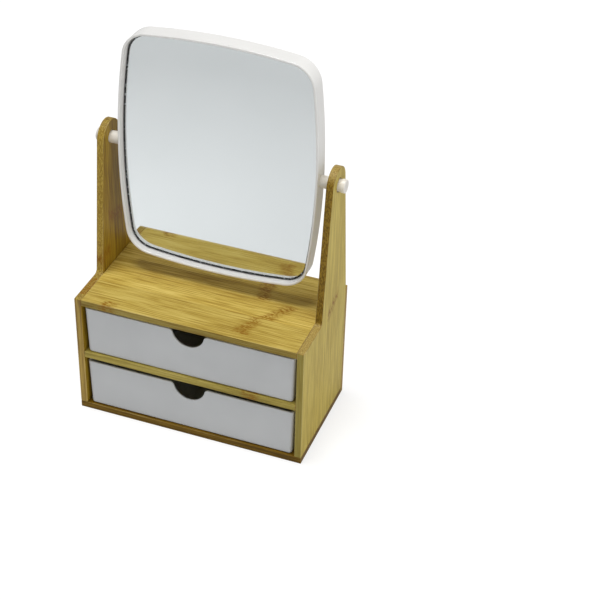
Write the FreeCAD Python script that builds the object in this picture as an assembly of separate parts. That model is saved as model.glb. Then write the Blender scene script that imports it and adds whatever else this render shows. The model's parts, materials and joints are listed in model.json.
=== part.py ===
import FreeCAD, Part
import math
import os

# Table make-up mirror: a bamboo case with two plastic drawers, two uprights that are
# one piece with the case's sides, and a double-sided mirror that turns between them.
# Millimetres. +X is right, +Y is back, +Z is up.
# The origin is the centre of the case's footprint, on the table.

Vector = FreeCAD.Vector
LEFT = -1
RIGHT = 1
FRONT = -1
REAR = 1

# Case boards
case_width = 200.0
side_depth = 100.0
board = 6.0
back_thickness = 4.5
back_top_drop = 1.0
edge_round = 0.5

# Uprights, which are one piece with the side panels
upright_foot_depth = 58.9
pivot_to_side_back = 30.4
nose_radius = 15.0
foot_fillet = 4.0
pin_hole_chamfer = 0.8

# Dowels in the board joints, and brads in the back panel
dowel_side_cover = 1.0
dowel_end_cover = 2.0
dowel_length = 14.0
dowel_place_shares = (0.22, 0.78)
brad_radius = 0.7
brad_length = 14.0
brad_head_radius = 1.3
brad_head_thickness = 0.6
brad_place_shares = (0.08, 0.5, 0.92)
glue_gap = 0.05

# Drawers: two trays from one mould, and the room that the case leaves round them
drawer_height = 44.0
drawer_side_gap = 2.0
upper_headroom = 2.3
lower_headroom = 4.3
drawer_recess = 1.5
drawer_back_gap = 1.0
drawer_float = 0.2
drawer_wall = 1.8
drawer_corner = 3.0
drawer_foot_round = 1.6
drawer_side_draft = 1.25
drawer_front_draft = 0.4
drawer_rim_round = 0.5
notch_radius = 14.0
notch_lip = 3.5

# Mirror frame: its outline is four shallow arcs joined by round corners
frame_height = 204.0
frame_side_gap = 9.0
frame_swing_gap = 13.7
frame_side_bulge = 8.9
frame_top_bulge = 6.9
frame_corner = 22.0
frame_depth = 16.0
rim_width = 2.0
frame_wall_draft = 0.5
web_thickness = 0.6
rim_outer_round = 0.8
rim_inner_round = 0.6
rest_tilt_degrees = 2.3

# Mirror glass and the foam tape under it, alike on both sides of the web
glass_edge_gap = 0.4
glass_thickness = 2.0
glass_chamfer = 0.5
tape_thickness = 0.4
tape_width = 12.0
tape_gap = 0.3

# Pivot pins
pin_radius = 5.1
pin_clearance = 0.3
pin_head_lip = 0.5
pin_head_thickness = 3.3
pin_head_standoff = 2.6
pin_head_round = 0.8
pin_seat_depth = 0.3
spigot_radius = 2.0
spigot_end_cover = 0.5
spigot_clearance = 0.05

# Every cut starts this far outside the face that it goes through
overrun = 1.0

# Case sizes and places worked out from the sizes above
case_depth = side_depth + back_thickness
case_half = case_width / 2
bay_half = case_half - board
front_y = -case_depth / 2
side_back_y = front_y + side_depth
back_y = case_depth / 2
shelf_bottom = board + drawer_float + drawer_height + lower_headroom
shelf_top = shelf_bottom + board
top_board_bottom = shelf_top + drawer_float + drawer_height + upper_headroom
case_height = top_board_bottom + board

# Mirror sizes and places worked out from the sizes above
frame_width = 2 * (bay_half - frame_side_gap)
frame_wall_foot = rim_width + frame_wall_draft
frame_swing = math.hypot(frame_height / 2, frame_depth / 2)
pivot = Vector(0, side_back_y - pivot_to_side_back, case_height + frame_swing_gap + frame_swing)
glass_inset = frame_wall_foot + glass_edge_gap
pin_seat_x = frame_width / 2 - pin_seat_depth
pin_hole_radius = pin_radius + pin_clearance
spigot_length = frame_wall_foot - pin_seat_depth - spigot_end_cover

# Drawer and dowel sizes worked out from the sizes above
drawer_width = 2 * (bay_half - drawer_side_gap)
dowel_radius = board / 2 - dowel_side_cover
dowel_hole_radius = dowel_radius + glue_gap
dowel_face_depth = board - dowel_end_cover


def box(x_range, y_range, z_range):
    corner = Vector(x_range[0], y_range[0], z_range[0])
    size = Vector(x_range[1], y_range[1], z_range[1]) - corner
    return Part.makeBox(size.x, size.y, size.z, corner)


def rod(radius, start, end):
    along = end - start
    return Part.makeCylinder(radius, along.Length, start, along)


def rounded(shape, radius, wanted):
    """Round the edges of a shape for which wanted(edge) is true."""
    edges = [edge for edge in shape.Edges if wanted(edge)]
    return shape.makeFillet(radius, edges)


def lies_at(shape, axis, value):
    """True for an edge or face that is all at one value of an axis."""
    low = getattr(shape.BoundBox, axis + "Min")
    high = getattr(shape.BoundBox, axis + "Max")
    slack = edge_round / 10
    return abs(low - value) < slack and abs(high - value) < slack


# Side panels with their uprights

def tangent_from(foot, side):
    """The point where the line up from a foot touches the front or rear of the nose."""
    reach = pivot - foot
    angle = -side * math.asin(nose_radius / reach.Length)
    length = math.sqrt(reach.Length ** 2 - nose_radius ** 2)
    towards = reach.normalize()
    y = towards.y * math.cos(angle) - towards.z * math.sin(angle)
    z = towards.y * math.sin(angle) + towards.z * math.cos(angle)
    return foot + Vector(0, y, z) * length


def corner_arc(corner, before, after, radius):
    """An arc of one radius that rounds a corner between two neighbouring points."""
    back = (before - corner).normalize()
    ahead = (after - corner).normalize()
    half = back.getAngle(ahead) / 2
    start = corner + back * (radius / math.tan(half))
    end = corner + ahead * (radius / math.tan(half))
    middle = (back + ahead).normalize()
    nearest = corner + middle * (radius / math.sin(half) - radius)
    return Part.Arc(start, nearest, end)


def side_panel_outline():
    low_front = Vector(0, front_y, board)
    high_front = Vector(0, front_y, case_height)
    foot = Vector(0, side_back_y - upright_foot_depth, case_height)
    heel = Vector(0, side_back_y, case_height)
    low_back = Vector(0, side_back_y, board)
    nose_front = tangent_from(foot, FRONT)
    nose_back = tangent_from(heel, REAR)
    nose_top = pivot + Vector(0, 0, nose_radius)
    foot_arc = corner_arc(foot, high_front, nose_front, foot_fillet)
    return Part.Wire([
        Part.makeLine(low_front, high_front),
        Part.makeLine(high_front, foot_arc.StartPoint),
        foot_arc.toShape(),
        Part.makeLine(foot_arc.EndPoint, nose_front),
        Part.Arc(nose_front, nose_top, nose_back).toShape(),
        Part.makeLine(nose_back, heel),
        Part.makeLine(heel, low_back),
        Part.makeLine(low_back, low_front),
    ])


def dowel_ys():
    return [front_y + side_depth * share for share in dowel_place_shares]


def level_dowels(height, radius):
    """Dowels that run from a board's two ends into the side panels."""
    start = bay_half + dowel_face_depth
    end = start - dowel_length
    return [rod(radius, Vector(side * start, y, height), Vector(side * end, y, height))
            for side in (LEFT, RIGHT) for y in dowel_ys()]


def upright_dowels(radius):
    """Dowels that stand in the bottom board and run up into the side panels."""
    start = board - dowel_face_depth
    end = start + dowel_length
    middle = case_half - board / 2
    return [rod(radius, Vector(side * middle, y, start), Vector(side * middle, y, end))
            for side in (LEFT, RIGHT) for y in dowel_ys()]


def all_dowel_holes():
    holes = upright_dowels(dowel_hole_radius)
    for height in board_middles():
        holes += level_dowels(height, dowel_hole_radius)
    return holes


def board_middles():
    """Heights of the two boards that are held between the side panels."""
    return [(shelf_bottom + shelf_top) / 2, (top_board_bottom + case_height) / 2]


def pin_hole():
    """The bore for one pin, chamfered where it leaves the upright's two faces."""
    start = Vector(bay_half - overrun, pivot.y, pivot.z)
    end = Vector(case_half + overrun, pivot.y, pivot.z)
    hole = rod(pin_hole_radius, start, end)
    wide = pin_hole_radius + pin_hole_chamfer
    inner = Vector(bay_half, pivot.y, pivot.z)
    outer = Vector(case_half, pivot.y, pivot.z)
    for mouth, inwards in ((inner, Vector(1, 0, 0)), (outer, Vector(-1, 0, 0))):
        cone = Part.makeCone(wide, pin_hole_radius, pin_hole_chamfer, mouth, inwards)
        hole = hole.fuse(cone)
    return hole


def side_panel(side):
    """One board from the bottom board to the nose; the left one is the right one mirrored."""
    outline = side_panel_outline()
    outline.translate(Vector(bay_half, 0, 0))
    panel = Part.Face(outline).extrude(Vector(board, 0, 0))

    def is_eased(edge):
        middle_z = (edge.BoundBox.ZMin + edge.BoundBox.ZMax) / 2
        if lies_at(edge, "X", case_half):
            hidden = lies_at(edge, "Z", board) or lies_at(edge, "Y", side_back_y)
            return not hidden
        return lies_at(edge, "X", bay_half) and middle_z > case_height + edge_round

    panel = rounded(panel, edge_round, is_eased)
    panel = panel.cut(pin_hole())
    if side == LEFT:
        panel = panel.mirror(Vector(0, 0, 0), Vector(1, 0, 0))
    return panel.cut(all_dowel_holes())


# Boards and back panel

def bottom_board():
    shape = box((-case_half, case_half), (front_y, side_back_y), (0, board))

    def is_eased(edge):
        at_front = lies_at(edge, "Y", front_y)
        at_end = lies_at(edge, "X", case_half) or lies_at(edge, "X", -case_half)
        return lies_at(edge, "Z", 0) and (at_front or at_end)

    shape = rounded(shape, edge_round, is_eased)
    return shape.cut(upright_dowels(dowel_hole_radius) + brads(board / 2, True))


def held_board(low, high):
    """A board that is held between the side panels, with its front edges eased."""
    shape = box((-bay_half, bay_half), (front_y, side_back_y), (low, high))

    def is_eased(edge):
        return lies_at(edge, "Y", front_y) and not (
            lies_at(edge, "X", bay_half) or lies_at(edge, "X", -bay_half))

    middle = (low + high) / 2
    shape = rounded(shape, edge_round, is_eased)
    return shape.cut(level_dowels(middle, dowel_hole_radius) + brads(middle, True))


def brad_heights():
    return [board / 2] + board_middles()


def brads(height, as_hole):
    """A row of brads through the back panel into the edge of the board at one height."""
    gap = glue_gap if as_hole else 0
    row = []
    for share in brad_place_shares:
        x = -case_half + case_width * share
        head_back = Vector(x, back_y, height)
        head_front = Vector(x, back_y - brad_head_thickness - gap, height)
        tip = Vector(x, back_y - brad_length - gap, height)
        head = rod(brad_head_radius + gap, head_back, head_front)
        row.append(head.fuse(rod(brad_radius + gap, head_back, tip)).removeSplitter())
    return row


def back_panel():
    top = case_height - back_top_drop
    shape = box((-case_half, case_half), (side_back_y, back_y), (0, top))
    shape = rounded(shape, edge_round, lambda edge: lies_at(edge, "Y", back_y))
    for height in brad_heights():
        shape = shape.cut(brads(height, True))
    return shape


# Drawers

def tray_outline(inset_side, inset_front, inset_back, corner, height):
    """A rectangle with round corners at one height, inset from the drawer's mouth."""
    left = -drawer_width / 2 + inset_side
    right = drawer_width / 2 - inset_side
    front = front_y + drawer_recess + inset_front
    back = side_back_y - drawer_back_gap - inset_back
    corners = [Vector(left, front, height), Vector(right, front, height),
               Vector(right, back, height), Vector(left, back, height)]
    arcs = [corner_arc(corners[i], corners[i - 1], corners[(i + 1) % 4], corner)
            for i in range(4)]
    edges = []
    for i in range(4):
        edges.append(arcs[i].toShape())
        edges.append(Part.makeLine(arcs[i].EndPoint, arcs[(i + 1) % 4].StartPoint))
    return Part.Wire(edges)


def tray_block(inset, corner, floor, top):
    """The drafted block between a floor and the mouth, inset all round by one amount."""
    def outline(height):
        share = (drawer_height - height) / drawer_height
        side = inset + drawer_side_draft * share
        front = inset + drawer_front_draft * share
        return tray_outline(side, front, side, corner, height)

    return Part.makeLoft([outline(floor), outline(top)], True, True)


def finger_notch():
    """A half-round cut in the front's top edge, with its two lips rounded off."""
    reach = math.sqrt((notch_radius + notch_lip) ** 2 - notch_lip ** 2)
    share = notch_radius / (notch_radius + notch_lip)
    top = drawer_height
    notch_bottom = Vector(0, 0, top - notch_radius)

    def points(side):
        on_rim = Vector(side * reach, 0, top)
        on_notch = Vector(side * reach * share, 0, top - notch_lip * share)
        centre = Vector(side * reach, 0, top - notch_lip)
        towards = (on_rim - centre).normalize() + (on_notch - centre).normalize()
        return on_rim, centre + towards.normalize() * notch_lip, on_notch

    left_rim, left_lip, left_notch = points(LEFT)
    right_rim, right_lip, right_notch = points(RIGHT)
    above = Vector(0, 0, overrun)
    outline = Part.Wire([
        Part.Arc(left_rim, left_lip, left_notch).toShape(),
        Part.Arc(left_notch, notch_bottom, right_notch).toShape(),
        Part.Arc(right_notch, right_lip, right_rim).toShape(),
        Part.makeLine(right_rim, right_rim + above),
        Part.makeLine(right_rim + above, left_rim + above),
        Part.makeLine(left_rim + above, left_rim),
    ])
    outline.translate(Vector(0, front_y - overrun, 0))
    depth = overrun + drawer_recess + drawer_front_draft + drawer_wall + overrun
    return Part.Face(outline).extrude(Vector(0, depth, 0))


def drawer(floor_height):
    """One tray, made with its underside at zero and then set on its board."""
    tray = tray_block(0, drawer_corner, 0, drawer_height)
    tray = rounded(tray, drawer_foot_round, lambda edge: lies_at(edge, "Z", 0))
    inner_corner = max(drawer_corner - drawer_wall, drawer_wall / 2)
    hollow = tray_block(drawer_wall, inner_corner, drawer_wall, drawer_height)
    tray = tray.cut(hollow)
    tray = rounded(tray, drawer_rim_round, lambda edge: lies_at(edge, "Z", drawer_height))
    tray = tray.cut(finger_notch())
    tray.translate(Vector(0, 0, floor_height + drawer_float))
    return tray


# Mirror: made upright about the pivot, then tilted and set at the pivot

def meet_of_circles(centre_a, radius_a, centre_b, radius_b):
    """The meeting point of two circles in the X-Z plane that lies furthest up and right."""
    line = centre_b - centre_a
    distance = line.Length
    along = (distance ** 2 + radius_a ** 2 - radius_b ** 2) / (2 * distance)
    off = math.sqrt(radius_a ** 2 - along ** 2)
    line.normalize()
    sideways = Vector(line.z, 0, -line.x)
    meets = [centre_a + line * along + sideways * off, centre_a + line * along - sideways * off]
    return max(meets, key=lambda point: point.x + point.z)


def frame_outline(inset, depth):
    """The frame's outline, moved inwards by an inset, at one depth along Y."""
    half_width = frame_width / 2
    half_height = frame_height / 2
    side_radius = (half_height ** 2 + frame_side_bulge ** 2) / (2 * frame_side_bulge)
    top_radius = (half_width ** 2 + frame_top_bulge ** 2) / (2 * frame_top_bulge)
    side_centre = Vector(half_width - side_radius, 0, 0)
    top_centre = Vector(0, 0, half_height - top_radius)
    corner_centre = meet_of_circles(
        side_centre, side_radius - frame_corner, top_centre, top_radius - frame_corner)
    to_side = (corner_centre - side_centre).normalize()
    to_top = (corner_centre - top_centre).normalize()
    to_middle = (to_side + to_top).normalize()
    radius = frame_corner - inset
    on_side = corner_centre + to_side * radius
    on_corner = corner_centre + to_middle * radius
    on_top = corner_centre + to_top * radius

    def at(point, x_sign, z_sign):
        return Vector(point.x * x_sign, depth, point.z * z_sign)

    side_middle = Vector(half_width - inset, 0, 0)
    top_middle = Vector(0, 0, half_height - inset)
    arcs = [
        (at(on_side, 1, -1), at(side_middle, 1, 1), at(on_side, 1, 1)),
        (at(on_side, 1, 1), at(on_corner, 1, 1), at(on_top, 1, 1)),
        (at(on_top, 1, 1), at(top_middle, 1, 1), at(on_top, -1, 1)),
        (at(on_top, -1, 1), at(on_corner, -1, 1), at(on_side, -1, 1)),
        (at(on_side, -1, 1), at(side_middle, -1, 1), at(on_side, -1, -1)),
        (at(on_side, -1, -1), at(on_corner, -1, -1), at(on_top, -1, -1)),
        (at(on_top, -1, -1), at(top_middle, 1, -1), at(on_top, 1, -1)),
        (at(on_top, 1, -1), at(on_corner, 1, -1), at(on_side, 1, -1)),
    ]
    return Part.Wire([Part.Arc(*points).toShape() for points in arcs])


def frame_slab(inset, start, end):
    """A plate with the frame's outline between two depths."""
    face = Part.Face(frame_outline(inset, start))
    return face.extrude(Vector(0, end - start, 0))


def set_at_pivot(shape):
    shape.rotate(Vector(0, 0, 0), Vector(1, 0, 0), -rest_tilt_degrees)
    shape.translate(pivot)
    return shape


def facing(shape, side):
    """One of the mirror's front pieces as it is made, or turned round to the rear."""
    if side == REAR:
        return shape.mirror(Vector(0, 0, 0), Vector(0, 1, 0))
    return shape


def rim_edges(ring, outer):
    """The outer or the inner edges of the frame's two rims."""
    edges = []
    for face in ring.Faces:
        if lies_at(face, "Y", -frame_depth / 2) or lies_at(face, "Y", frame_depth / 2):
            for wire in face.Wires:
                if wire.isSame(face.OuterWire) == outer:
                    edges += wire.Edges
    return edges


def mirror_frame():
    """A moulded ring with a web across its middle that carries a glass on each side."""
    ring = frame_slab(0, -frame_depth / 2, frame_depth / 2)
    rim = frame_outline(rim_width, -frame_depth / 2)
    foot = frame_outline(frame_wall_foot, -web_thickness / 2)
    hollow = Part.makeLoft([rim, foot], True, True)
    for side in (FRONT, REAR):
        ring = ring.cut(facing(hollow, side))
    ring = ring.makeFillet(rim_outer_round, rim_edges(ring, True))
    ring = ring.makeFillet(rim_inner_round, rim_edges(ring, False))
    for side in (LEFT, RIGHT):
        outside = Vector(side * (frame_width / 2 + overrun), 0, 0)
        seat = Vector(side * pin_seat_x, 0, 0)
        socket = Vector(side * (pin_seat_x - spigot_length - spigot_clearance), 0, 0)
        ring = ring.cut(rod(pin_radius + spigot_clearance, outside, seat))
        ring = ring.cut(rod(spigot_radius + spigot_clearance, outside, socket))
    return set_at_pivot(ring)


def glass(side):
    back = -web_thickness / 2 - tape_thickness
    front = back - glass_thickness
    plate = frame_slab(glass_inset, back, front)
    edges = [edge for edge in plate.Edges if lies_at(edge, "Y", front)]
    plate = plate.makeChamfer(glass_chamfer, edges)
    return set_at_pivot(facing(plate, side))


def foam_tape(side):
    back = -web_thickness / 2
    front = back - tape_thickness
    outer = frame_wall_foot + tape_gap
    ring = frame_slab(outer, back, front)
    ring = ring.cut(frame_slab(outer + tape_width, back + overrun, front - overrun))
    return set_at_pivot(facing(ring, side))


def pivot_pin(side):
    """Head, shank through the upright, and a spigot that is pressed into the frame."""
    seat = Vector(side * pin_seat_x, 0, 0)
    head_inner = Vector(side * (case_half + pin_head_standoff), 0, 0)
    head_outer = head_inner + Vector(side * pin_head_thickness, 0, 0)
    spigot_end = seat - Vector(side * spigot_length, 0, 0)
    head = rod(pin_radius + pin_head_lip, head_inner, head_outer)
    head = rounded(head, pin_head_round, lambda edge: lies_at(edge, "X", head_outer.x))
    pin = head.fuse([rod(pin_radius, seat, head_inner), rod(spigot_radius, spigot_end, seat)])
    return set_at_pivot(pin.removeSplitter())


shelf_middle, top_middle = board_middles()
pieces = {
    "bottom_board": bottom_board(),
    "left_side_panel": side_panel(LEFT),
    "right_side_panel": side_panel(RIGHT),
    "top_board": held_board(top_board_bottom, case_height),
    "middle_shelf": held_board(shelf_bottom, shelf_top),
    "back_panel": back_panel(),
    "bottom_board_dowels": Part.makeCompound(upright_dowels(dowel_radius)),
    "middle_shelf_dowels": Part.makeCompound(level_dowels(shelf_middle, dowel_radius)),
    "top_board_dowels": Part.makeCompound(level_dowels(top_middle, dowel_radius)),
    "back_panel_brads": Part.makeCompound(
        [brad for height in brad_heights() for brad in brads(height, False)]),
    "upper_drawer": drawer(shelf_top),
    "lower_drawer": drawer(board),
    "mirror_frame": mirror_frame(),
    "front_glass": glass(FRONT),
    "rear_glass": glass(REAR),
    "front_tape": foam_tape(FRONT),
    "rear_tape": foam_tape(REAR),
    "left_pivot_pin": pivot_pin(LEFT),
    "right_pivot_pin": pivot_pin(RIGHT),
}

os.makedirs("parts", exist_ok=True)
for name, shape in pieces.items():
    shape.exportStep("parts/" + name + ".step")
    bounds = shape.BoundBox
    print(name, "solids", len(shape.Solids), "valid", shape.isValid(),
          "volume", round(shape.Volume, 1), "box",
          [round(value, 2) for value in (bounds.XMin, bounds.YMin, bounds.ZMin,
                                         bounds.XMax, bounds.YMax, bounds.ZMax)])
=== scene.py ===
import json
import math

import bmesh
import bpy
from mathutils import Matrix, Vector


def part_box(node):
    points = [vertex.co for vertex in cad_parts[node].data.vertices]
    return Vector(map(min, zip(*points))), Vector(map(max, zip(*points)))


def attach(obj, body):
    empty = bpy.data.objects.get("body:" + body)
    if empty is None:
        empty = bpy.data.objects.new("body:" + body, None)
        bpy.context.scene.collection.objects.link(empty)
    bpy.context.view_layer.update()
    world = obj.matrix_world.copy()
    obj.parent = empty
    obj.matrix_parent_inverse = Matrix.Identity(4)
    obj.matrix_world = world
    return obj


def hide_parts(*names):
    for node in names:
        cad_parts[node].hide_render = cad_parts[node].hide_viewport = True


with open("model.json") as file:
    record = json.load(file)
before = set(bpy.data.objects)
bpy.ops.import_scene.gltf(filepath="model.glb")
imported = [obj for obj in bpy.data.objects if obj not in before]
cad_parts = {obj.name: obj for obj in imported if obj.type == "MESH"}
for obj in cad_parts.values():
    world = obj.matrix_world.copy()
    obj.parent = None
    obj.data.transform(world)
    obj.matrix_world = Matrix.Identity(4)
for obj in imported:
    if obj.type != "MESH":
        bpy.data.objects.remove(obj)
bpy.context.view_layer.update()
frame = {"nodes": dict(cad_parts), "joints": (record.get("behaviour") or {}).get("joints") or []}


# Studio
# White paper on a table, lit by a large soft lamp overhead, a weaker one from the right and a pale room
# all round. The paper is only what the mirror stands on.

mm = 0.001


def linear(colour):
    """An sRGB hex colour as the linear values that a shader takes."""
    shares = [int(colour[i:i + 2], 16) / 255 for i in (1, 3, 5)]
    return [s / 12.92 if s <= 0.04045 else ((s + 0.055) / 1.055) ** 2.4 for s in shares] + [1]


def add(tree, kind, inputs, **settings):
    """Adds a shader node with its settings. An input is given a value, the output that feeds it, or a
    node, which stands for its first output in use."""
    node = tree.nodes.new("ShaderNode" + kind)
    for name, value in settings.items():
        setattr(node, name, value)
    for place, value in inputs.items():
        if isinstance(value, bpy.types.Node):
            value = next(socket for socket in value.outputs if socket.enabled)
        if isinstance(value, bpy.types.NodeSocket):
            tree.links.new(value, node.inputs[place])
        else:
            node.inputs[place].default_value = value
    return node


def new_material(name):
    """An empty material with its tree and its Principled shader, which the section then fills."""
    material = bpy.data.materials.new(name)
    material.use_nodes = True
    return material, material.node_tree, material.node_tree.nodes["Principled BSDF"]


def feed(tree, shader, **inputs):
    """Links nodes to the shader's inputs, whose names are given with _ for a space."""
    for name, node in inputs.items():
        output = next(socket for socket in node.outputs if socket.enabled)
        tree.links.new(output, shader.inputs[name.replace("_", " ")])


def ray_kinds(tree):
    """Two outputs, each 1 for its rays: those from the camera, and those by way of a mirror or glass."""
    rays = add(tree, "LightPath", {})
    in_glass = add(tree, "Math", {0: rays.outputs["Is Glossy Ray"], 1: rays.outputs["Is Transmission Ray"]},
                   operation="MAXIMUM")
    return rays.outputs["Is Camera Ray"], in_glass


paper_size = 6.0
paper_bounce = 0.72
paper_seen = 0.34
paper_glow = 0.72
mirrored_near = 1.0
mirrored_far = 0.705
mirrored_reach = 0.43
brightest_spot = (-0.22, -0.22, 0)

bpy.ops.object.select_all(action="DESELECT")
bpy.ops.mesh.primitive_plane_add(size=paper_size, location=(0, 0, 0))
paper = bpy.context.object
paper.name = "paper_floor"

# The eye sees the paper white. In the glass its colour is painted darker further off: painted shade, as
# light falls off in a room
white_paper, tree, shader = new_material("white background paper")
place = add(tree, "TexCoord", {}).outputs["Object"]
distance = add(tree, "VectorMath", {0: place, 1: brightest_spot}, operation="DISTANCE")
mirrored = add(tree, "MapRange", {"Value": distance, "From Max": mirrored_reach, "To Min": mirrored_near,
                                  "To Max": mirrored_far})
in_view, in_glass = ray_kinds(tree)
seen = add(tree, "Mix", {"Factor": in_view, "A": paper_bounce, "B": paper_seen})
shade = add(tree, "Mix", {"Factor": in_glass, "A": seen, "B": mirrored})
glow = add(tree, "Math", {0: in_view, 1: paper_glow}, operation="MULTIPLY")
feed(tree, shader, Base_Color=shade, Emission_Strength=glow)
shader.inputs["Emission Color"].default_value = (1, 1, 1, 1)
shader.inputs["Roughness"].default_value = 1
shader.inputs["Specular IOR Level"].default_value = 0
paper.data.materials.append(white_paper)

room_light = 0.25
room_mirrored = 0.72
room_seen = 1.0

world = bpy.data.worlds.new("pale room")
world.use_nodes = True
bpy.context.scene.world = world
tree = world.node_tree
in_view, in_glass = ray_kinds(tree)
brightness = add(tree, "Mix", {"Factor": in_glass, "A": room_light, "B": room_mirrored})
brightness = add(tree, "Mix", {"Factor": in_view, "A": brightness, "B": room_seen})
feed(tree, tree.nodes["Background"], Color=brightness)

# Each lamp's strength, its spread in degrees, and where it shines from
lamps = {"overhead_lamp": (2.1, 20, (-0.10, -0.03, 0.98)), "side_lamp": (1.1, 70, (0.85, -0.45, 0.35))}
for lamp_name, (light, spread, lamp_from) in lamps.items():
    bpy.ops.object.light_add(type="SUN", location=lamp_from)
    lamp = bpy.context.object
    lamp.name = lamp_name
    lamp.data.energy = light
    lamp.data.angle = math.radians(spread)
    lamp.rotation_euler = Vector(lamp_from).to_track_quat("Z", "Y").to_euler()

# The side lamp is wide, so it would stand in the mirror as a white patch
bpy.data.objects["side_lamp"].visible_glossy = False
bpy.data.objects["side_lamp"].visible_transmission = False

camera_place = (0.4186, -0.9732, 0.8664)
camera_turn = [math.radians(a) for a in (54.280, -1.413, 20.371)]
camera_lens = 94.66

bpy.ops.object.camera_add(location=camera_place, rotation=camera_turn)
camera = bpy.context.object
camera.data.lens = camera_lens
camera.data.sensor_width = 36
camera.data.clip_start = 0.01
bpy.context.scene.camera = camera
bpy.context.scene.view_settings.view_transform = "Standard"


# Bottom board
# Flat-pressed bamboo: split canes planed to strips and glued edge to edge, 6 mm thick, sanded and
# lacquered. It lies flat on the table and the side panels stand on its two ends.

# Edges count as sharp above one angle and are shaded soft below the other
crease = math.radians(30)
smooth_below = math.radians(40)

# Points within the first distance are the same, those within the second stand level, and doubles are merged
# within the third
same_place = 0.01 * mm
level_with = 0.1 * mm
doubled = 0.002 * mm


def start(name, primitive, origin=(0, 0, 0), **how):
    """Adds a primitive with nothing else selected. Its place goes into its mesh, about the given origin."""
    bpy.ops.object.select_all(action="DESELECT")
    primitive(**how)
    piece = bpy.context.object
    piece.name = name
    bpy.ops.object.transform_apply(location=True, rotation=True, scale=True)
    bpy.context.scene.cursor.location = origin
    bpy.ops.object.origin_set(type="ORIGIN_CURSOR")
    bpy.ops.object.mode_set(mode="EDIT")
    bpy.ops.mesh.select_mode(type="VERT")
    bpy.ops.mesh.select_all(action="SELECT")
    return piece


def choose(kind, wanted):
    """In edit mode, selects the verts, edges or faces for which wanted(part) is true."""
    bpy.ops.mesh.select_mode(type=kind)
    bpy.ops.mesh.select_all(action="DESELECT")
    mesh = bpy.context.object.data
    shape = bmesh.from_edit_mesh(mesh)
    parts = {"VERT": shape.verts, "EDGE": shape.edges, "FACE": shape.faces}[kind]
    for part in parts:
        part.select_set(wanted(part))
    shape.select_flush_mode()
    bmesh.update_edit_mesh(mesh)


def sharp(edge):
    """True where two faces meet at a crease."""
    return len(edge.link_faces) == 2 and edge.calc_face_angle(0) > crease


def close_mesh(piece):
    """Ends the modelling: merged doubles, true normals, soft shading over the rounds, place in the mesh."""
    bpy.ops.mesh.select_all(action="SELECT")
    bpy.ops.mesh.remove_doubles(threshold=doubled)
    bpy.ops.mesh.normals_make_consistent(inside=False)
    bpy.ops.object.mode_set(mode="OBJECT")
    bpy.ops.object.transform_apply(location=True, rotation=True, scale=True)
    bpy.ops.object.shade_smooth_by_angle(angle=smooth_below)
    flat = piece.modifiers.new("flat faces stay flat", "WEIGHTED_NORMAL")
    flat.keep_sharp = True
    bpy.ops.object.modifier_apply(modifier=flat.name)


def fit(piece, materials, body, slot, *nodes):
    """Gives a piece its materials and the body that it moves with, and hides the nodes that it stands for.
    The slot, its finish, is not used.
    """
    for material in materials:
        piece.data.materials.append(material)
    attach(piece, body)
    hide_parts(*nodes)


# In mm: a strip's width, the most that a strip's noises are shifted, half the length of a knuckle's band,
# the width in which it wanders, and the height of the fibres' tooth
strip_width = 24.5
strip_shift = 60
knuckle_half = 9
knuckle_wander = 10
fibre_tooth = 0.06

# A ramp keeps values from 0 to 1, so a strip's tone and its knuckle's lean in mm are kept as shares of these
tone_span = 2
lean_span = 100

# Where on its noise each tone of the streaks and of the sawn bundles lies
streak_levels = 0.42, 0.50, 0.59
bundle_levels = 0.40, 0.60
glue_brown = "#8A6A2E"
knuckle_brown = "#8C6112"
pale_wear_and_highlight = "#DCCB92"

# How far a face looks across or along the grain where its tone begins to change, and where it has changed
edge_turn = 0.4, 0.8
slant_turn = 0.05, 0.10
end_turn = 0.45, 0.85


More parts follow.
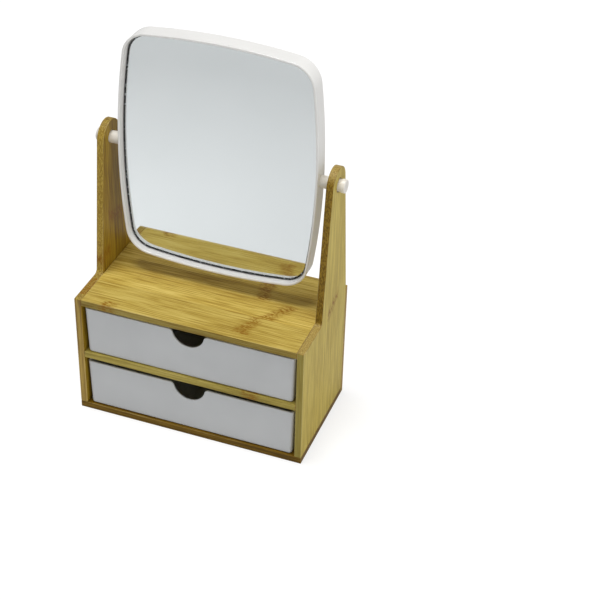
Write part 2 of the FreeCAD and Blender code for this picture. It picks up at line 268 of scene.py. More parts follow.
def bamboo(node, grain, across, first_joint, strips, seed, light, mid, dark, slant, end,
           edge_shade=1, edge_depth=1):
    """Lacquered flat-pressed bamboo. The eye gets crisp fibre streaks along the grain, strips of slightly
    different gold, and a band of short brown strokes where a strip crosses a knuckle of the cane. Fibre
    bundles 0.4 mm thick are drawn about 1 mm wide, because finer ones don't show in the render.
    Where the saw cut slantwise or square across the grain, the bundles show as dark dots."""
    low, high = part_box(node)
    length = (high - low)["XYZ".index(grain)] / mm
    thin = "XYZ".replace(grain, "").replace(across, "")
    material, tree, shader = new_material(node.replace("_", " ") + " bamboo")
    coords = add(tree, "TexCoord", {})
    board = add(tree, "Mapping", {"Vector": coords.outputs["Object"], "Location": -low / mm,
                                  "Scale": (1 / mm,) * 3})
    axes = add(tree, "SeparateXYZ", {0: board})
    along, cross = axes.outputs[grain], axes.outputs[across]

    # Which strip a point lies in. Each strip is given its knuckle's place in mm, its tone, and its
    # knuckle's lean in mm, and they are kept as red, green and blue of one ramp
    counted = add(tree, "Math", {0: cross, 1: 1 / strip_width, 2: 1 - first_joint / strip_width},
                  operation="MULTIPLY_ADD")
    number = add(tree, "Math", {0: counted}, operation="FLOOR")
    within = add(tree, "Math", {0: counted, 1: number}, operation="SUBTRACT")
    share = add(tree, "Math", {0: number, 1: 1 / len(strips), 2: 0.5 / len(strips)},
                operation="MULTIPLY_ADD")
    strip_values = add(tree, "ValToRGB", {"Fac": share})
    strip_values.color_ramp.interpolation = "CONSTANT"
    for i, (knuckle, tone, lean) in enumerate(strips):
        stops = strip_values.color_ramp.elements
        stop = stops[i] if i < 2 else stops.new(i / len(strips))
        stop.position = i / len(strips)
        stop.color = max(knuckle, 0) / length, tone / tone_span, 0.5 + lean / lean_span, 1
    parted = add(tree, "SeparateColor", {0: strip_values})
    numbered = add(tree, "Math", {0: number, 1: seed}, operation="ADD")
    chance = add(tree, "TexWhiteNoise", {"W": numbered}, noise_dimensions="1D")
    shift = add(tree, "VectorMath", {0: chance.outputs["Color"], "Scale": strip_shift}, operation="SCALE")

    # Noises drawn out along the grain, by their length and width in mm, each strip with its own part
    noises = []
    for run, width, detail in (60, 1.1, 3), (22, 0.7, 2), (70, 13, 2), (3.6, 1.1, 1), (2.4, 0.9, 2):
        stretch = [1 / width] * 3
        stretch["XYZ".index(grain)] = 1 / run
        where = add(tree, "VectorMath", {0: board, 1: stretch, 2: shift}, operation="MULTIPLY_ADD")
        noises.append(add(tree, "TexNoise", {"Vector": where, "Scale": 1, "Detail": detail,
                                             "Roughness": 0.65}))
    streaks, threads, clouds, dashes, dots = noises
    blend = add(tree, "Math", {0: streaks, 1: 0.5, 2: 0}, operation="MULTIPLY_ADD")
    blend = add(tree, "Math", {0: threads, 1: 0.3, 2: blend}, operation="MULTIPLY_ADD")
    blend = add(tree, "Math", {0: clouds, 1: 0.2, 2: blend}, operation="MULTIPLY_ADD")
    wood = add(tree, "ValToRGB", {"Fac": blend})
    wood.color_ramp.elements.new(0.5)
    for stop, position, colour in zip(wood.color_ramp.elements, streak_levels, (dark, mid, light)):
        stop.position = position
        stop.color = linear(colour)

    # Each strip comes from another cane, so it is a little lighter or darker than its neighbour; a strip's
    # tone can also be set darker as painted shade. The narrow long edges, where the canes' sides show,
    # differ in tone and in depth of colour
    strip_value = add(tree, "Math", {0: parted.outputs["Green"], 1: tone_span}, operation="MULTIPLY")
    normal = add(tree, "SeparateXYZ", {0: coords.outputs["Normal"]})
    sideways = add(tree, "Math", {0: normal.outputs[across]}, operation="ABSOLUTE")
    edge_value = add(tree, "MapRange", {"Value": sideways, "From Min": edge_turn[0],
                                        "From Max": edge_turn[1], "To Min": 1, "To Max": edge_shade})
    value = add(tree, "Math", {0: strip_value, 1: edge_value}, operation="MULTIPLY")
    depth = add(tree, "MapRange", {"Value": sideways, "From Min": edge_turn[0], "From Max": edge_turn[1],
                                   "To Min": 1, "To Max": edge_depth})
    toned = add(tree, "HueSaturation", {"Color": wood, "Value": value, "Saturation": depth})

    # A hair-thin darker line where two strips are glued
    centred = add(tree, "Math", {0: within, 1: 0.5}, operation="SUBTRACT")
    beside = add(tree, "Math", {0: centred}, operation="ABSOLUTE")
    joint = add(tree, "MapRange", {"Value": beside, "From Min": 0.485, "From Max": 0.5, "To Max": 0.3})
    colour = add(tree, "Mix", {"Factor": joint, "A": toned, "B": linear(glue_brown)}, data_type="RGBA")

    # Slantwise and square cuts, by how far the face looks along the grain
    cut = add(tree, "Math", {0: normal.outputs[grain]}, operation="ABSOLUTE")
    for tones, (first, full) in ((slant, slant_turn), (end, end_turn)):
        bundles = add(tree, "ValToRGB", {"Fac": dots})
        for stop, position, tone in zip(bundles.color_ramp.elements, bundle_levels, tones):
            stop.position = position
            stop.color = linear(tone)
        reached = add(tree, "MapRange", {"Value": cut, "From Min": first, "From Max": full})
        colour = add(tree, "Mix", {"Factor": reached, "A": colour, "B": bundles}, data_type="RGBA")

    # The knuckle of each strip, a leaning band of short strokes
    places = parted.outputs["Red"]
    lean = add(tree, "Math", {0: parted.outputs["Blue"], 1: lean_span, 2: -lean_span / 2},
               operation="MULTIPLY_ADD")
    leaning = add(tree, "Math", {0: centred, 1: lean, 2: along}, operation="MULTIPLY_ADD")
    offset = add(tree, "Math", {0: places, 1: -length, 2: leaning}, operation="MULTIPLY_ADD")
    wander = add(tree, "TexNoise", {"Vector": board, "Scale": 0.09, "Detail": 1})
    wandering = add(tree, "Math", {0: wander, 1: knuckle_wander, 2: -knuckle_wander / 2},
                    operation="MULTIPLY_ADD")
    offset = add(tree, "Math", {0: offset, 1: wandering}, operation="ADD")
    distance = add(tree, "Math", {0: offset}, operation="ABSOLUTE")
    band = add(tree, "MapRange", {"Value": distance, "From Min": knuckle_half,
                                  "From Max": 0.2 * knuckle_half}, interpolation_type="SMOOTHSTEP")
    strokes = add(tree, "MapRange", {"Value": dashes, "From Min": 0.44, "From Max": 0.58, "To Min": 0.16,
                                     "To Max": 1.0})
    has_knuckle = add(tree, "Math", {0: places, 1: 0.5 / length}, operation="GREATER_THAN")
    scar = add(tree, "Math", {0: band, 1: strokes}, operation="MULTIPLY")
    scar = add(tree, "Math", {0: scar, 1: has_knuckle}, operation="MULTIPLY")
    colour = add(tree, "Mix", {"Factor": scar, "A": colour, "B": linear(knuckle_brown)}, data_type="RGBA")

    # The sanded round at a board's rim has paler lengths: partly wear where the lacquer is rubbed, partly a
    # painted highlight along the edge
    facing = add(tree, "Math", {0: normal.outputs[thin]}, operation="ABSOLUTE")
    at_rim = add(tree, "Math", {0: facing, 1: 0.6, 2: 0.38}, operation="COMPARE")
    rim_wear_and_highlight = add(tree, "MapRange", {"Value": clouds, "From Min": 0.42, "From Max": 0.62, "To Max": 0.32})
    rim_wear_and_highlight = add(tree, "Math", {0: rim_wear_and_highlight, 1: at_rim}, operation="MULTIPLY")
    colour = add(tree, "Mix", {"Factor": rim_wear_and_highlight, "A": colour, "B": linear(pale_wear_and_highlight)}, data_type="RGBA")

    # Lacquer fills the fibres and leaves a satin surface with a little tooth
    gloss = add(tree, "MapRange", {"Value": streaks, "To Min": 0.36, "To Max": 0.56})
    height = add(tree, "Math", {0: threads, 1: 0.5, 2: streaks}, operation="MULTIPLY_ADD")
    tooth = add(tree, "Bump", {"Height": height, "Strength": 0.35, "Distance": fibre_tooth * mm})
    feed(tree, shader, Base_Color=colour, Roughness=gloss, Normal=tooth)
    shader.inputs["IOR"].default_value = 1.5
    shader.inputs["Specular IOR Level"].default_value = 0.15
    return material


edge_round = 0.5 * mm


def make_board(node, material):
    """A plain board: a block cut to the node's size, with its sawn edges sanded round."""
    low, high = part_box(node)
    piece = start("bamboo_" + node, bpy.ops.mesh.primitive_cube_add, size=1, location=(low + high) / 2,
                  scale=high - low)
    choose("EDGE", sharp)
    bpy.ops.mesh.bevel(offset=edge_round, segments=3)
    close_mesh(piece)
    fit(piece, [material], "case", "bamboo", node)
    return piece


no_knuckle = -1
make_board("bottom_board", bamboo(
    "bottom_board", "X", "Y", first_joint=12, seed=14.0,
    strips=((no_knuckle, 1, 0), (60, 1.05, 8), (150, 0.95, -6), (20, 1, 4), (110, 1.03, -9)),
    light="#8C6C1C", mid="#78590E", dark="#604608", slant=("#6A4E1E", "#94742E"),
    end=("#5C441C", "#886A30"), edge_shade=0.85))


# Side panels
# Each is one bamboo board, its grain upright, sawn to a panel that runs up into a tapered upright with a
# round nose. A bore through the nose takes the pivot pin. Glue and dowels hold it between the boards.

tilt = next(j for j in frame["joints"] if j["name"] == "mirror_tilt")
pivot = Vector(tilt["pos_m"])
nose_radius = 15 * mm
bore_radius = 5.4 * mm
bore_chamfer = 0.8 * mm
foot_from_front = 41.1 * mm
foot_fillet = 4 * mm

# The bore's circle has this many steps. One that lies below a touch point by up to this share of the radius
# still belongs to the nose
bore_steps = 120
nose_spare = 0.02


def touch_point(foot, side):
    """Where a line from the foot touches the nose's circle, on its front (-1) or its back (1)."""
    away = Vector((foot.y - pivot.y, foot.z - pivot.z))
    turn = side * math.acos(nose_radius / away.length)
    angle = math.atan2(away.y, away.x) + turn
    return Vector((foot.x, pivot.y + nose_radius * math.cos(angle), pivot.z + nose_radius * math.sin(angle)))


def make_side_panel(node):
    """A panel with its upright, sawn from one board of the node's thickness."""
    low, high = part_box(node)
    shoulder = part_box("top_board")[1].z
    middle = Vector((low.x, pivot.y, pivot.z))
    foot = Vector((low.x, low.y + foot_from_front, shoulder))
    heel = Vector((low.x, high.y, shoulder))
    corners = [Vector((low.x, low.y, shoulder)), Vector((low.x, low.y, low.z)),
               Vector((low.x, high.y, low.z)), heel]

    front_touch = touch_point(foot, -1)
    back_touch = touch_point(heel, 1)

    # The nose: the bore's circle, widened to the nose's where it lies above the two touch points
    piece = start("bamboo_" + node, bpy.ops.mesh.primitive_circle_add, vertices=bore_steps,
                  radius=bore_radius, location=middle, rotation=(0, math.pi / 2, 0))

    def in_nose(vert):
        touch = front_touch if vert.co.y < pivot.y else back_touch
        return (vert.co.z - pivot.z) / bore_radius > (touch.z - pivot.z) / nose_radius - nose_spare

    choose("VERT", in_nose)
    bpy.ops.mesh.extrude_edges_move()
    grow = nose_radius / bore_radius
    bpy.ops.transform.resize(value=(1, grow, grow), center_override=middle)

    def nearest(point):
        shape = bmesh.from_edit_mesh(piece.data)
        return min((v.co.copy() for v in shape.verts), key=lambda co: (co - point).length)

    # The outline runs from the nose's front down round the panel and up to the nose's back
    front_touch = nearest(front_touch)
    back_touch = nearest(back_touch)
    here = front_touch
    for corner in [foot] + corners:
        choose("VERT", lambda v: (v.co - here).length < same_place)
        bpy.ops.mesh.extrude_vertices_move(TRANSFORM_OT_translate={"value": corner - here})
        here = corner
    choose("VERT", lambda v: min((v.co - heel).length, (v.co - back_touch).length) < same_place)
    bpy.ops.mesh.edge_face_add()

    def bounds_panel(edge):
        """True for the outline, the bore's lower part, and the two ends of the nose's faces."""
        reach = [(v.co - middle).length for v in edge.verts]
        ends_nose = len(edge.link_faces) == 1 and abs(reach[0] - reach[1]) > bore_radius
        return ends_nose or not edge.link_faces

    choose("EDGE", bounds_panel)
    bpy.ops.mesh.edge_face_add()
    choose("VERT", lambda v: (v.co - foot).length < same_place)
    opening = (front_touch - foot).angle(corners[0] - foot)
    bpy.ops.mesh.bevel(affect="VERTICES", offset=foot_fillet / math.tan(opening / 2), segments=8)

    bpy.ops.mesh.select_all(action="SELECT")
    bpy.ops.mesh.extrude_region_move(TRANSFORM_OT_translate={"value": (high.x - low.x, 0, 0)})
    bpy.ops.mesh.select_all(action="SELECT")
    bpy.ops.mesh.normals_make_consistent(inside=False)

    def at_bore(edge):
        centre = (edge.verts[0].co + edge.verts[1].co) / 2
        return Vector((0, centre.y - pivot.y, centre.z - pivot.z)).length < bore_radius + bore_chamfer

    choose("EDGE", lambda e: sharp(e) and at_bore(e))
    bpy.ops.mesh.bevel(offset=bore_chamfer, segments=2)
    choose("EDGE", lambda e: sharp(e) and not at_bore(e))
    bpy.ops.mesh.bevel(offset=edge_round, segments=3)
    close_mesh(piece)
    return piece


def copy_of(piece, name, move=(0, 0, 0), half_turn=None):
    """A copy with its own mesh, moved, or turned half round a line through the pivot."""
    bpy.ops.object.select_all(action="DESELECT")
    piece.select_set(True)
    bpy.context.view_layer.objects.active = piece
    bpy.ops.object.duplicate()
    copy = bpy.context.object
    copy.name = name
    bpy.ops.transform.translate(value=move)
    if half_turn:
        bpy.ops.transform.rotate(value=math.pi, orient_axis=half_turn, center_override=pivot)
    bpy.ops.object.transform_apply(location=True, rotation=True, scale=True)
    return copy


right_panel = make_side_panel("right_side_panel")
across_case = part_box("left_side_panel")[0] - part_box("right_side_panel")[0]
left_panel = copy_of(right_panel, "bamboo_left_side_panel", move=across_case)
# The left panel's colours are darker and deeper than the right panel's: painted shade, because its inner
# face stands in shade, and the right panel's are the lit copy. Its darker fourth strip and lighter fifth
# strip are painted shade and painted light on that face
fit(left_panel, [bamboo(
    "left_side_panel", "Z", "Y", first_joint=8, seed=11.0,
    strips=((no_knuckle, 1, 0), (108, 1, 0), (121, 0.98, -5), (150, 0.95, 9), (30, 1.12, -4)),
    light="#B0922E", mid="#9A7A1E", dark="#7A5C14", slant=("#92762E", "#B69A44"),
    end=("#785A22", "#B09848"), edge_shade=1.17, edge_depth=0.88)], "case", "bamboo", "left_side_panel")
fit(right_panel, [bamboo(
    "right_side_panel", "Z", "Y", first_joint=6, seed=5.0,
    strips=((no_knuckle, 0.98, 0), (190, 1, 6), (no_knuckle, 1.02, 0), (111.5, 1, -10),
            (no_knuckle, 0.97, 0)),
    light="#D4C064", mid="#C2AC50", dark="#AA923C", slant=("#6A5016", "#967828"),
    end=("#90763A", "#B8A05A"), edge_shade=0.56)], "case", "bamboo", "right_side_panel")


# Middle shelf and top board
# Two more flat-pressed bamboo boards, 6 mm thick, their grain from side to side. They are glued and
# dowelled between the side panels, and a drawer slides on the shelf.

sawn_tones = "#80622A", "#A88840"
make_board("middle_shelf", bamboo(
    "middle_shelf", "X", "Y", first_joint=9, seed=23.0,
    strips=((149, 1, 3), (36, 1, 8), (90, 0.97, -6), (150, 1.03, 4), (20, 1, -8)),
    light="#BCAA5A", mid="#AA9848", dark="#907E38", slant=sawn_tones, end=sawn_tones))
# The top board's two rear strips are set darker (0.93): painted shade where the mirror's shadow falls under
# and behind the frame
make_board("top_board", bamboo(
    "top_board", "X", "Y", first_joint=7.3, seed=7.0,
    strips=((22, 0.88, -8), (139, 0.87, -5), (156, 0.98, -16), (135, 0.93, 4), (no_knuckle, 0.93, 0)),
    light="#DAC26A", mid="#C4A84D", dark="#A08131", slant=sawn_tones, end=sawn_tones, edge_shade=0.64))


# Back panel
# A thinner flat-pressed bamboo board laid on the rear edges of the case. Nine steel brads hold it, each in
# its own small countersink.

back_panel = make_board("back_panel", bamboo(
    "back_panel", "X", "Z", first_joint=14, seed=31.0,
    strips=((40, 1, 5), (130, 0.96, -8), (no_knuckle, 1.03, 0), (70, 1, 9), (150, 0.98, -5)),
    light="#C8B05E", mid="#B69C4A", dark="#9A8038", slant=sawn_tones, end=("#8A6E34", "#B0914A")))

brad_shares = (0.08, 0.5, 0.92)
countersink_radius = 1.5 * mm
countersink_depth = 0.9 * mm
panel_low, panel_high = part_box("back_panel")
brad_places = []
for board_name in ("bottom_board", "middle_shelf", "top_board"):
    board_low, board_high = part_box(board_name)
    for share in brad_shares:
        brad_places.append(Vector((panel_low.x + share * (panel_high.x - panel_low.x), panel_high.y,
                                   (board_low.z + board_high.z) / 2)))
for brad_place in brad_places:
    bit = start("countersink_bit", bpy.ops.mesh.primitive_cylinder_add, vertices=24,
                radius=countersink_radius, depth=2 * countersink_depth, location=brad_place,
                rotation=(math.pi / 2, 0, 0))
    bpy.ops.object.mode_set(mode="OBJECT")
    bpy.ops.object.select_all(action="DESELECT")
    back_panel.select_set(True)
    bpy.context.view_layer.objects.active = back_panel
    sink = back_panel.modifiers.new("countersink", "BOOLEAN")
    sink.object = bit
    sink.solver = "EXACT"
    bpy.ops.object.modifier_apply(modifier=sink.name)
    bpy.data.objects.remove(bit)
bpy.ops.object.mode_set(mode="EDIT")
close_mesh(back_panel)


# Brads
# Headed pins of drawn steel wire, 14 mm long. They are driven through the back panel into the boards
# until their heads lie flush.

head_radius = 1.3 * mm
shank_radius = 0.7 * mm
head_thickness = 0.6 * mm
head_edge = 0.15 * mm
tip_edge = 0.1 * mm

# A face looks along an axis where its normal reaches this far along it
square_on = 0.9


def mottled(name, spot, detail, tones, levels=(0, 1)):
    """A material whose colour drifts between two tones over spots of the given size. The spots come back
    with it, for a roughness that drifts along."""
    material, tree, shader = new_material(name)
    place = add(tree, "TexCoord", {}).outputs["Object"]
    spots = add(tree, "TexNoise", {"Vector": place, "Scale": 1 / spot, "Detail": detail})
    tone = add(tree, "ValToRGB", {"Fac": spots})
    for stop, level, colour in zip(tone.color_ramp.elements, levels, tones):
        stop.position = level
        stop.color = linear(colour)
    feed(tree, shader, Base_Color=tone)
    return material, tree, shader, spots


# The wire's drawing and the hammer leave bright and dull spots on each head
bright_steel, tree, shader, marks = mottled("bright drawn steel", 0.6 * mm, 3, ("#8C8880", "#D2CFC8"))
feed(tree, shader, Roughness=add(tree, "MapRange", {"Value": marks, "To Min": 0.25, "To Max": 0.5}))
shader.inputs["Metallic"].default_value = 1

brad_low, brad_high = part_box("back_panel_brads")
shank_length = brad_high.y - brad_low.y - head_thickness


def make_brad():
    """A brad with its head's face at the origin, pointing to the front."""
    brad = start("brad", bpy.ops.mesh.primitive_cylinder_add, vertices=16, radius=shank_radius,
                 depth=shank_length, location=(0, -head_thickness - shank_length / 2, 0),
                 rotation=(math.pi / 2, 0, 0))
    choose("FACE", lambda f: f.normal.y > square_on)
    bpy.ops.mesh.extrude_region_move()
    grow = head_radius / shank_radius
    bpy.ops.transform.resize(value=(grow, 1, grow), center_override=(0, -head_thickness, 0))
    bpy.ops.mesh.extrude_region_move(TRANSFORM_OT_translate={"value": (0, head_thickness, 0)})
    bpy.ops.mesh.bevel(offset=head_edge, segments=2)
    choose("FACE", lambda f: f.normal.y < -square_on and f.calc_center_median().y < -shank_length)
    bpy.ops.mesh.inset(thickness=0.5 * shank_radius, depth=0)
    bpy.ops.mesh.bevel(offset=tip_edge, segments=1)
    close_mesh(brad)
    return brad


brad = make_brad()
for i, brad_place in enumerate(brad_places):
    driven = copy_of(brad, f"brad_{i + 1}", move=brad_place)
    fit(driven, [bright_steel], "case", "brad_steel", "back_panel_brads")
bpy.data.objects.remove(brad)


# Dowels
# Turned beech dowels, glued into blind holes where the boards meet the side panels. They don't show once
# the case is together.

# Plain pale beech with darker flecks
beech, tree, shader, flecks = mottled("turned beech", 1.5 * mm, 3, ("#B98F60", "#D9B78A"))
feed(tree, shader, Roughness=add(tree, "MapRange", {"Value": flecks, "To Min": 0.55, "To Max": 0.7}))
for node in ("bottom_board_dowels", "middle_shelf_dowels", "top_board_dowels"):
    frame["nodes"][node].data.materials.clear()
    frame["nodes"][node].data.materials.append(beech)


# Drawers
# Two trays of white polypropylene from one mould, with drafted walls 1.8 mm thick and a half-round finger
# notch in the front's top edge. Each slides straight on its board, with no runner and no stop.

drawer_wall = 1.8 * mm
drawer_corner = 3 * mm
foot_round = 1.6 * mm
rim_round = 0.5 * mm
floor_round = 1.2 * mm
side_draft = 1.25 * mm
front_draft = 0.4 * mm
notch_radius = 14 * mm
notch_lip = 3.5 * mm
notch_reach = 20 * mm
notch_behind = 3 * mm
cutter_ahead = 2 * mm
cutter_behind = 6 * mm
cutter_above = 5 * mm
lip_steps = 8
notch_steps = 40

# The mould's spark texture, under 0.1 mm wide, is drawn about 0.7 mm wide. The eye gets a satin sheen with
# a faint grain
satin_plastic, tree, shader, flow = mottled(
    "satin moulded white polypropylene", 45 * mm, 2, ("#C4C6C7", "#CACCCD"), levels=(0.3, 0.7))
place = add(tree, "TexCoord", {}).outputs["Object"]
spark = add(tree, "TexNoise", {"Vector": place, "Scale": 1 / (0.7 * mm), "Detail": 2})
rough = add(tree, "MapRange", {"Value": spark, "To Min": 0.38, "To Max": 0.50})
grain = add(tree, "Bump", {"Height": spark, "Strength": 0.25, "Distance": 0.03 * mm})
feed(tree, shader, Roughness=rough, Normal=grain)
shader.inputs["IOR"].default_value = 1.49


def spin_arc(centre, sweep, steps):
    """Turns the selection about a line along Y through the centre, from +X towards +Z."""
    bpy.ops.mesh.spin(steps=steps, angle=sweep, center=centre, axis=(0, 1, 0))


def notch_cutter(rim, front, back):
    """A bar in the form of the finger notch, with its two lips, for cutting the front wall."""
    reach = math.sqrt((notch_radius + notch_lip) ** 2 - notch_lip ** 2)
    lip_angle = math.asin(notch_lip / (notch_radius + notch_lip))
    cutter = start("notch_cutter", bpy.ops.mesh.primitive_plane_add, size=1 * mm,
                   location=(reach, front, rim))
    bpy.ops.mesh.merge(type="CENTER")
    spin_arc((reach, front, rim - notch_lip), math.pi / 2 - lip_angle, lip_steps)
    spin_arc((0, front, rim), -(math.pi - 2 * lip_angle), notch_steps)
    spin_arc((-reach, front, rim - notch_lip), math.pi / 2 - lip_angle, lip_steps)
    for run in (0, 0, cutter_above), (2 * reach, 0, 0), (0, 0, -cutter_above):
        bpy.ops.mesh.extrude_vertices_move(TRANSFORM_OT_translate={"value": run})
    bpy.ops.mesh.select_all(action="SELECT")
    bpy.ops.mesh.remove_doubles(threshold=same_place)
    bpy.ops.mesh.edge_face_add()
    bpy.ops.mesh.extrude_region_move(TRANSFORM_OT_translate={"value": (0, back - front, 0)})
    bpy.ops.mesh.select_all(action="SELECT")
    bpy.ops.mesh.normals_make_consistent(inside=False)
    bpy.ops.object.mode_set(mode="OBJECT")
    return cutter


def make_drawer(name):
    """A tray: a block drafted and rounded, hollowed from above, its notch cut and its rim rounded."""
    low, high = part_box(name)
    middle = (low + high) / 2
    size = high - low
    cutter = notch_cutter(high.z, low.y - cutter_ahead, low.y + cutter_behind)
    piece = start("moulded_" + name, bpy.ops.mesh.primitive_cube_add, size=1, location=middle, scale=size)
    choose("EDGE", lambda e: abs(e.verts[0].co.z - e.verts[1].co.z) > size.z / 2)
    bpy.ops.mesh.bevel(offset=drawer_corner, segments=8)
    choose("FACE", lambda f: f.normal.z < -square_on)
    narrow = (1 - 2 * side_draft / size.x, 1 - 2 * front_draft / size.y, 1)
    bpy.ops.transform.resize(value=narrow, center_override=middle)
    choose("EDGE", lambda e: all(v.co.z < low.z + level_with for v in e.verts))
    bpy.ops.mesh.bevel(offset=foot_round, segments=5)

    # The hollow: the mouth is inset by the wall and pushed down to the floor, narrowing with the draft
    choose("FACE", lambda f: f.normal.z > square_on)
    bpy.ops.mesh.inset(thickness=drawer_wall)
    depth = size.z - drawer_wall
    bpy.ops.mesh.extrude_region_move(TRANSFORM_OT_translate={"value": (0, 0, -depth)})
    bpy.ops.transform.resize(value=narrow, center_override=middle)
    floor = low.z + drawer_wall
    choose("EDGE", lambda e: sharp(e) and all(abs(v.co.z - floor) < level_with for v in e.verts))
    bpy.ops.mesh.bevel(offset=floor_round, segments=4)
    bpy.ops.mesh.select_all(action="SELECT")
    bpy.ops.mesh.normals_make_consistent(inside=False)
    bpy.ops.object.mode_set(mode="OBJECT")

    cut = piece.modifiers.new("finger notch", "BOOLEAN")
    cut.object = cutter
    cut.solver = "EXACT"
    bpy.ops.object.modifier_apply(modifier=cut.name)
    bpy.data.objects.remove(cutter)
    bpy.ops.object.mode_set(mode="EDIT")
    notch_foot = high.z - notch_radius - 2 * level_with

    def on_rim(edge):
        heights = [v.co.z for v in edge.verts]
        in_front = all(v.co.y < low.y + notch_behind and abs(v.co.x) < notch_reach for v in edge.verts)
        return min(heights) > high.z - level_with or (in_front and min(heights) > notch_foot)

    choose("EDGE", lambda e: sharp(e) and on_rim(e))
    bpy.ops.mesh.bevel(offset=rim_round, segments=3)
    close_mesh(piece)
    return piece


upper_tray = make_drawer("upper_drawer")
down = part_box("lower_drawer")[0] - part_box("upper_drawer")[0]
lower_tray = copy_of(upper_tray, "moulded_lower_drawer", move=down)
fit(upper_tray, [satin_plastic], "upper_drawer", "drawer_plastic", "upper_drawer")
fit(lower_tray, [satin_plastic], "lower_drawer", "drawer_plastic", "lower_drawer")


# Mirror frame
# One moulding of glossy white ABS, 16 mm deep: a drafted wall all round and a thin web across the middle.
# Its outline is four flat arcs joined by 22 mm corners. It takes a mirror glass on each side.

half_width = 85 * mm
half_height = 102 * mm
side_bulge = 8.9 * mm
top_bulge = 6.9 * mm
corner_radius = 22 * mm
frame_depth = 16 * mm
rim_width = 2 * mm
outer_round = 0.8 * mm
inner_round = 0.6 * mm
wall_foot = 2.5 * mm
web_half = 0.3 * mm
long_arc_steps = 14
corner_steps = 24
arcs_meet = 0.005 * mm
rest_tilt = math.radians(-2.3)

side_radius = (half_height ** 2 + side_bulge ** 2) / (2 * side_bulge)
top_radius = (half_width ** 2 + top_bulge ** 2) / (2 * top_bulge)
side_centre = Vector((half_width - side_radius, 0, 0))
top_centre = Vector((0, 0, half_height - top_radius))


def corner_middle():
    """Centre of the corner arc, which touches both long arcs from within."""
    from_side = side_radius - corner_radius
    from_top = top_radius - corner_radius
    line = top_centre - side_centre
    along = (from_side ** 2 - from_top ** 2 + line.length ** 2) / (2 * line.length)
    aside = math.sqrt(from_side ** 2 - along ** 2)
    return side_centre + line.normalized() * along + line.normalized().cross(Vector((0, 1, 0))) * aside


corner_centre = corner_middle()
side_sweep = math.atan2((corner_centre - side_centre).z, (corner_centre - side_centre).x)
corner_end = math.atan2((corner_centre - top_centre).z, (corner_centre - top_centre).x)


def round_the_frame(piece):
    """Carries a section at the right side's middle round a quarter of the frame, then mirrors it twice."""
    bpy.ops.mesh.select_all(action="SELECT")
    spin_arc(pivot + side_centre, side_sweep, long_arc_steps)
    spin_arc(pivot + corner_centre, corner_end - side_sweep, corner_steps)
    spin_arc(pivot + top_centre, math.pi / 2 - corner_end, long_arc_steps)
    bpy.ops.object.mode_set(mode="OBJECT")
    twice = piece.modifiers.new("other quarters", "MIRROR")
    twice.use_axis = (True, False, True)
    twice.merge_threshold = same_place
    bpy.ops.object.modifier_apply(modifier=twice.name)
    bpy.ops.object.mode_set(mode="EDIT")
    bpy.ops.mesh.select_all(action="SELECT")
    bpy.ops.mesh.remove_doubles(threshold=arcs_meet)


# A polished mould leaves a gloss that the eye sees as soft white highlights with a slight waviness
gloss_abs, tree, shader, flow = mottled(
    "glossy moulded white ABS", 40 * mm, 2, ("#EDECE9", "#F2F1EE"), levels=(0.3, 0.7))
feed(tree, shader, Roughness=add(tree, "MapRange", {"Value": flow, "To Min": 0.12, "To Max": 0.20}))
shader.inputs["IOR"].default_value = 1.53

rim_middle = pivot + Vector((half_width - rim_width / 2, 0, 0))
ring = start("moulded_mirror_frame", bpy.ops.mesh.primitive_plane_add, origin=pivot, size=frame_depth,
             location=rim_middle)
bpy.ops.transform.resize(value=(rim_width / frame_depth, 1, 1), center_override=rim_middle)
lip = half_width - rim_width
choose("EDGE", lambda e: all(v.co.x < lip + level_with for v in e.verts))
bpy.ops.mesh.subdivide(number_cuts=2)
choose("VERT", lambda v: abs(v.co.y) < frame_depth / 4)
bpy.ops.transform.resize(value=(1, 2 * web_half / (frame_depth / 3), 1), center_override=pivot)
bpy.ops.transform.translate(value=(rim_width - wall_foot, 0, 0))
choose("VERT", lambda v: v.co.x > half_width - level_with)
bpy.ops.mesh.bevel(affect="VERTICES", offset=outer_round, segments=5)
choose("VERT", lambda v: abs(v.co.x - lip) < level_with and abs(v.co.y) > 0.4 * frame_depth)
bpy.ops.mesh.bevel(affect="VERTICES", offset=inner_round, segments=4)
choose("EDGE", lambda e: all(abs(v.co.x - (half_width - wall_foot)) < same_place for v in e.verts))
bpy.ops.mesh.delete(type="EDGE")
round_the_frame(ring)
bpy.ops.mesh.fill_holes(sides=0)
ring.rotation_euler.x = rest_tilt
close_mesh(ring)
fit(ring, [gloss_abs], "mirror", "frame_plastic", "mirror_frame")


# Foam tapes
# Rings die-cut from black polyethylene foam, sticky on both faces. One lies between the frame's web and
# each glass, and holds the glass.

tape_inset = 2.8 * mm
tape_width = 12 * mm
tape_thickness = 0.4 * mm
tape_edge = 0.1 * mm
silver_gap = 0.02 * mm

# Cut foam cells: black, with no shine
black_foam, tree, shader = new_material("black polyethylene foam")
place = add(tree, "TexCoord", {}).outputs["Object"]
cells = add(tree, "TexVoronoi", {"Vector": place, "Scale": 1 / (0.6 * mm)})
tone = add(tree, "ValToRGB", {"Fac": cells})
tone.color_ramp.elements[0].color = linear("#0C0C0D")
tone.color_ramp.elements[1].color = linear("#242426")
rough = add(tree, "MapRange", {"Value": cells, "To Min": 0.85, "To Max": 0.95})
pits = add(tree, "Bump", {"Height": cells, "Strength": 0.6, "Distance": 0.1 * mm})
feed(tree, shader, Base_Color=tone, Roughness=rough, Normal=pits)

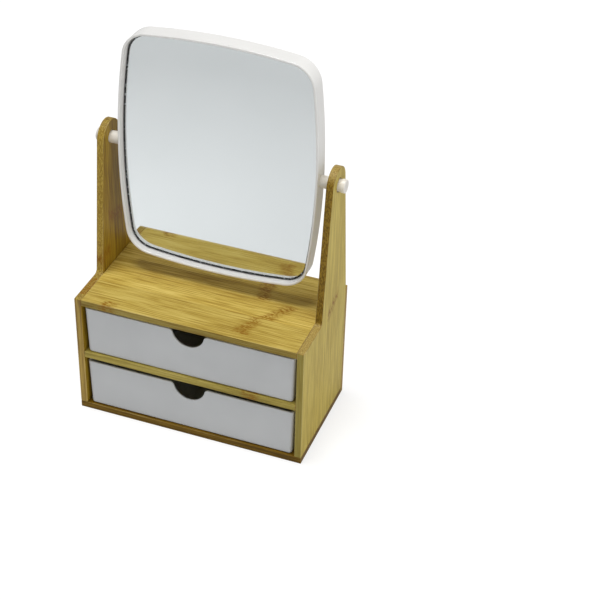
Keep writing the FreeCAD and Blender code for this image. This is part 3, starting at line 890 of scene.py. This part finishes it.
# Under the glass the foam is drawn a little thinner, so that its face doesn't fall into the silver's
tape_drawn = tape_thickness - silver_gap
tape_middle = pivot + Vector((half_width - tape_inset - tape_width / 2, -web_half - tape_drawn / 2, 0))
front_tape = start("foam_front_tape", bpy.ops.mesh.primitive_plane_add, origin=pivot, size=tape_width,
                   location=tape_middle)
bpy.ops.transform.resize(value=(1, tape_drawn / tape_width, 1), center_override=tape_middle)
bpy.ops.mesh.bevel(affect="VERTICES", offset=tape_edge, segments=2)
bpy.ops.mesh.delete(type="ONLY_FACE")
round_the_frame(front_tape)
front_tape.rotation_euler.x = rest_tilt
close_mesh(front_tape)
rear_tape = copy_of(front_tape, "foam_rear_tape", half_turn="X")
fit(front_tape, [black_foam], "mirror", "foam_tape", "front_tape")
fit(rear_tape, [black_foam], "mirror", "foam_tape", "rear_tape")


# Mirror glasses
# Float glass 2 mm thick, silvered on its inner face. Its edge is cut, and the dark backing paint shows on
# it and where the silver stops short. Its front corner is ground off and polished.

glass_inset = 2.9 * mm
glass_thickness = 2 * mm
glass_chamfer = 0.25 * mm
paint_border = 1.1 * mm

# Clear glass: a sharp reflection, and a faint green tint that shifts over the pane
float_glass, tree, shader, _ = mottled("clear float glass", 60 * mm, 1, ("#F9FCFB", "#FCFEFD"))
shader.inputs["Roughness"].default_value = 0
shader.inputs["IOR"].default_value = 1.52
shader.inputs["Transmission Weight"].default_value = 1

# Silver laid on the glass: a clear, slightly cool mirror image
silver, tree, shader, _ = mottled("silver coat on glass", 60 * mm, 1, ("#E3E6E8", "#E6E9EB"))
shader.inputs["Metallic"].default_value = 1
shader.inputs["Roughness"].default_value = 0.01

# Backing paint on the cut edge and the border: nearly black, with bright spots that are partly chips and
# partly painted glints of the ground edge. Chips 0.1 mm wide are drawn about 1 mm wide, because finer ones
# don't show
backing_paint, tree, shader, chips_and_glints = mottled(
    "backing paint on glass", 1.6 * mm, 3, ("#030509", "#D0D6DC"), levels=(0.57, 0.66))
feed(tree, shader, Roughness=add(tree, "MapRange", {"Value": chips_and_glints, "To Min": 0.15, "To Max": 0.45}))
shader.inputs["IOR"].default_value = 1.52

glass_middle = pivot + Vector((half_width - glass_inset - glass_thickness / 2,
                               -web_half - tape_thickness - glass_thickness / 2, 0))
front_glass = start("silvered_front_glass", bpy.ops.mesh.primitive_plane_add, origin=pivot,
                    size=glass_thickness, location=glass_middle)
glass_at = glass_middle - pivot
choose("VERT", lambda v: v.co.x > glass_at.x and v.co.y < glass_at.y)
bpy.ops.mesh.bevel(affect="VERTICES", offset=glass_chamfer, segments=1)
choose("VERT", lambda v: v.co.x < glass_at.x - 0.4 * glass_thickness)
bpy.ops.mesh.delete(type="VERT")
round_the_frame(front_glass)
bpy.ops.mesh.fill_holes(sides=0)
bpy.ops.mesh.select_all(action="SELECT")
bpy.ops.mesh.normals_make_consistent(inside=False)
choose("FACE", lambda f: f.normal.y > square_on)
bpy.ops.mesh.inset(thickness=paint_border)
front_glass.rotation_euler.x = rest_tilt
close_mesh(front_glass)

# Clear in front with its ground corner, silvered behind, and painted on the border and the cut edge
clear_face, coated_face, painted_face = 0, 1, 2
for face in front_glass.data.polygons:
    if face.normal.y < -0.5:
        face.material_index = clear_face
    elif face.normal.y > square_on and len(face.vertices) > 4:
        face.material_index = coated_face
    else:
        face.material_index = painted_face
rear_glass = copy_of(front_glass, "silvered_rear_glass", half_turn="X")
fit(front_glass, [float_glass, silver, backing_paint], "mirror", "mirror_glass", "front_glass")
fit(rear_glass, [float_glass, silver, backing_paint], "mirror", "mirror_glass", "rear_glass")


# Pivot pins
# Two mouldings of ivory-white ABS. Each goes through an upright and its spigot is pressed into the frame's
# wall, so the mirror turns with them and stays at the angle that it is given.

pin_radius = 5.1 * mm
knob_lip = 0.5 * mm
knob_thickness = 3.3 * mm
knob_round = 0.8 * mm
spigot_radius = 2 * mm
spigot_length = 1.7 * mm
spigot_edge = 0.3 * mm

# Less polished than the frame: a warmer white with softer highlights
ivory_abs, tree, shader, polish = mottled("ivory moulded ABS", 5 * mm, 2, ("#E7E2D8", "#EFEBE3"))
feed(tree, shader, Roughness=add(tree, "MapRange", {"Value": polish, "To Min": 0.24, "To Max": 0.34}))
shader.inputs["IOR"].default_value = 1.53


def make_pin(name):
    """The right pin: a shank with a round knob outside the upright and a spigot towards the frame."""
    low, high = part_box(name)
    seat = low.x + spigot_length
    neck = high.x - knob_thickness
    pin = start("moulded_" + name, bpy.ops.mesh.primitive_cylinder_add, vertices=72, radius=pin_radius,
                depth=neck - seat, location=((seat + neck) / 2, pivot.y, pivot.z),
                rotation=(0, math.pi / 2, 0))
    choose("FACE", lambda f: f.normal.x > square_on)
    bpy.ops.mesh.extrude_region_move()
    grow = (pin_radius + knob_lip) / pin_radius
    bpy.ops.transform.resize(value=(1, grow, grow), center_override=(neck, pivot.y, pivot.z))
    bpy.ops.mesh.extrude_region_move(TRANSFORM_OT_translate={"value": (knob_thickness, 0, 0)})
    bpy.ops.mesh.bevel(offset=knob_round, segments=5)
    choose("FACE", lambda f: f.normal.x < -square_on
           and abs(f.calc_center_median().x - seat) < level_with)
    bpy.ops.mesh.inset(thickness=pin_radius - spigot_radius)
    bpy.ops.mesh.extrude_region_move(TRANSFORM_OT_translate={"value": (low.x - seat, 0, 0)})
    bpy.ops.mesh.bevel(offset=spigot_edge, segments=2)
    close_mesh(pin)
    return pin


right_pin = make_pin("right_pivot_pin")
left_pin = copy_of(right_pin, "moulded_left_pivot_pin", half_turn="Z")
fit(right_pin, [ivory_abs], "mirror", "pin_plastic", "right_pivot_pin")
fit(left_pin, [ivory_abs], "mirror", "pin_plastic", "left_pivot_pin")
